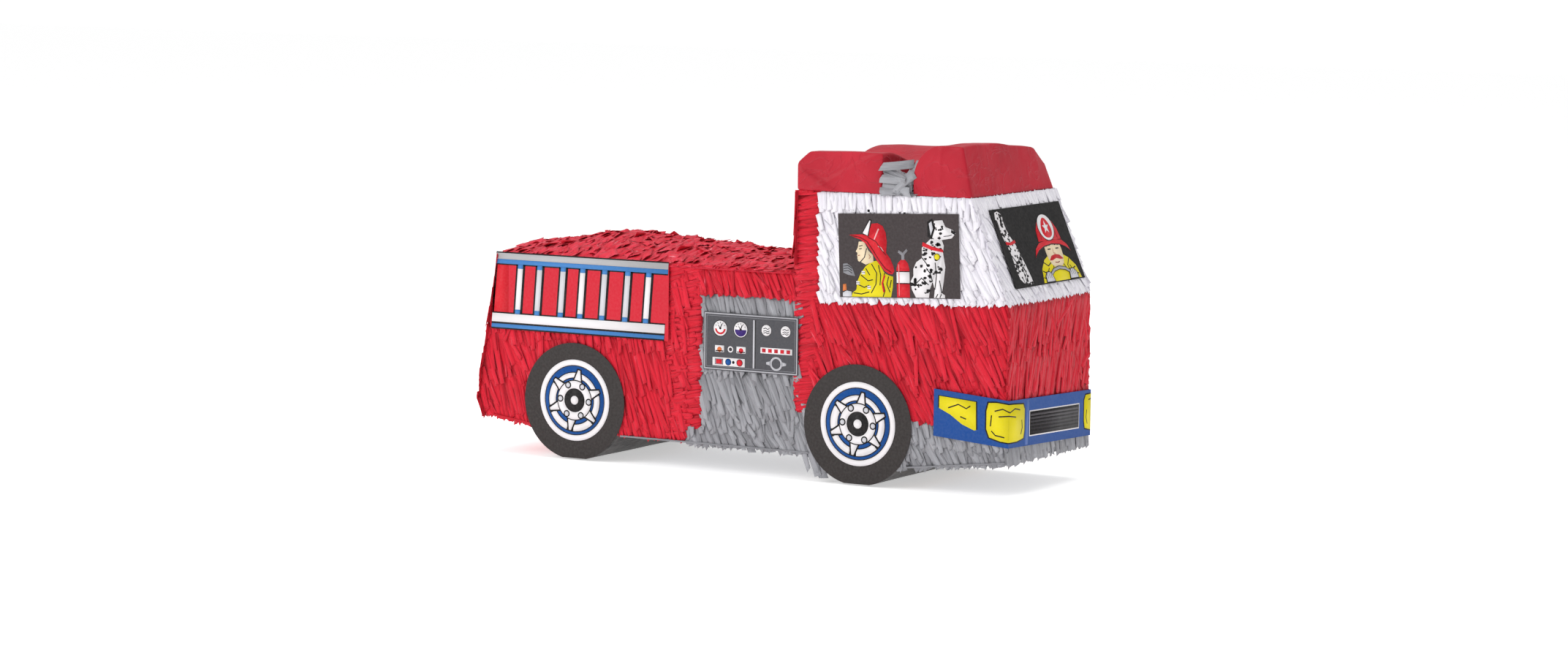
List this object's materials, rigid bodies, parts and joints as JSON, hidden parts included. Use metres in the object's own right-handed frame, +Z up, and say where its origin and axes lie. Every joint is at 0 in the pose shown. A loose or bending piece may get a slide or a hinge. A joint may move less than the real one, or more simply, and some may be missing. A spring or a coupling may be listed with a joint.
{
  "type": "fire engine pinata",
  "caption": "Toy fire-engine party pinata: hollow card body with fringed tissue, printed card cut-outs, paper-wrapped roof blocks and a filling flap in its tail.",
  "frame": {"origin": "on the ground, below the middle of the bounding box", "axes": "+X towards the engine's nose, +Y towards its left-hand side, +Z up"},
  "size_m": [0.5576, 0.167, 0.3075],
  "materials": {
    "card": "matte",
    "red_tissue": "matte",
    "white_tissue": "matte",
    "grey_tissue": "matte",
    "black_tissue": "matte",
    "red_paper": "matte",
    "wheel_print": "satin",
    "ladder_print": "satin",
    "panel_print": "satin",
    "window_print": "satin",
    "windscreen_print": "satin",
    "bumper_print": "satin",
    "stick": "matte"
  },
  "bodies": {
    "body": {"bed_side_tissue_left": "red_tissue", "bed_side_tissue_right": "red_tissue", "bed_top_panel": "card", "bed_top_tissue": "red_tissue", "bumper_print": "bumper_print", "cab_back_tissue": "red_tissue", "cab_bulkhead": "card", "cab_side_tissue_left": "red_tissue", "cab_side_tissue_right": "red_tissue", "flap_stop_tabs": "card", "front_block_paper": "red_paper", "front_grey_tissue": "grey_tissue", "front_panel": "card", "front_red_tissue": "red_tissue", "front_roof_block": "card", "front_wheel_print_left": "wheel_print", "front_wheel_print_right": "wheel_print", "front_wheel_strip": "card", "front_wheel_tread": "black_tissue", "glue_tabs": "card", "hanging_plate": "card", "hanging_stick": "stick", "ladder_print_left": "ladder_print", "ladder_print_right": "ladder_print", "middle_floor_strip": "card", "middle_floor_tissue": "grey_tissue", "nose_floor_strip": "card", "nose_floor_tissue": "grey_tissue", "pump_panel_print_left": "panel_print", "pump_panel_print_right": "panel_print", "rear_block_paper": "red_paper", "rear_panel": "card", "rear_roof_block": "card", "rear_wheel_print_left": "wheel_print", "rear_wheel_print_right": "wheel_print", "rear_wheel_strip": "card", "rear_wheel_tread": "black_tissue", "roof_channel_tissue": "grey_tissue", "roof_panel": "card", "side_panel_left": "card", "side_panel_right": "card", "side_window_print_left": "window_print", "side_window_print_right": "window_print", "skirt_tissue_left": "grey_tissue", "skirt_tissue_right": "grey_tissue", "tail_floor_strip": "card", "tail_floor_tissue": "red_tissue", "tail_tissue": "red_tissue", "window_tissue_left": "white_tissue", "window_tissue_right": "white_tissue", "windscreen_panel": "card", "windscreen_print": "windscreen_print", "windscreen_tissue": "white_tissue"},
    "flap": {"filling_flap": "card", "flap_tissue": "red_tissue"}
  },
  "joints": [
    {"name": "flap_crease", "type": "hinge", "parent": "body", "child": "flap", "pos_m": [-0.25582, 0, 0.14764], "axis": [0, 1, 0], "range_deg": [0, 105]}
  ]
}
